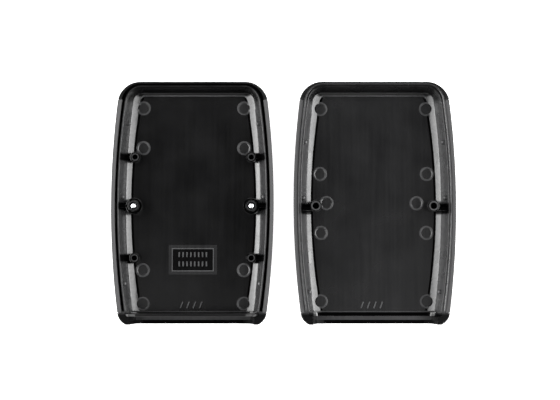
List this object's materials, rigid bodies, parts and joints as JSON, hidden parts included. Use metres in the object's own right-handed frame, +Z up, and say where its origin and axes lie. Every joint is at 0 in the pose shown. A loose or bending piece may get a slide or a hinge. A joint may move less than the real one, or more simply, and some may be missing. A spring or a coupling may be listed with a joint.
{
  "type": "hand-held electronics enclosure",
  "caption": "Soft-sided hand-held electronics case lying open: base and lid shells with rubber side grips, slot-in end panel and screws that join them.",
  "frame": {"origin": "on the surface that both open halves lie on, midway between them and midway along their length", "axes": "+X from the base half to the lid half, +Y along the halves towards their rounded ends, +Z up out of the open halves"},
  "size_m": [0.1666, 0.1174, 0.0223],
  "materials": {
    "shell_plastic": "moulded black ABS, smooth inside, fine spark texture outside",
    "grip_rubber": "matt grey-black thermoplastic rubber",
    "panel_plastic": "matt black ABS sheet",
    "screw_zinc": "bright zinc plated"
  },
  "bodies": {
    "base": {"base_shell": "shell_plastic", "base_grip_left": "grip_rubber", "base_grip_right": "grip_rubber", "end_panel": "panel_plastic"},
    "lid": {"lid_shell": "shell_plastic", "lid_grip_left": "grip_rubber", "lid_grip_right": "grip_rubber"},
    "screw_left": {"screw_left": "screw_zinc"},
    "screw_right": {"screw_right": "screw_zinc"}
  },
  "joints": [
    {"name": "lid_close", "type": "hinge", "parent": "base", "child": "lid", "pos_m": [0, 0, 0.012], "axis": [0, -1, 0], "range_deg": [0, 180]},
    {"name": "screw_left_drive", "type": "slide", "parent": "base", "child": "screw_left", "axis": [0, 0, 1], "range_m": [0, 0.0055]},
    {"name": "screw_right_drive", "type": "slide", "parent": "base", "child": "screw_right", "axis": [0, 0, 1], "range_m": [0, 0.0055]}
  ]
}
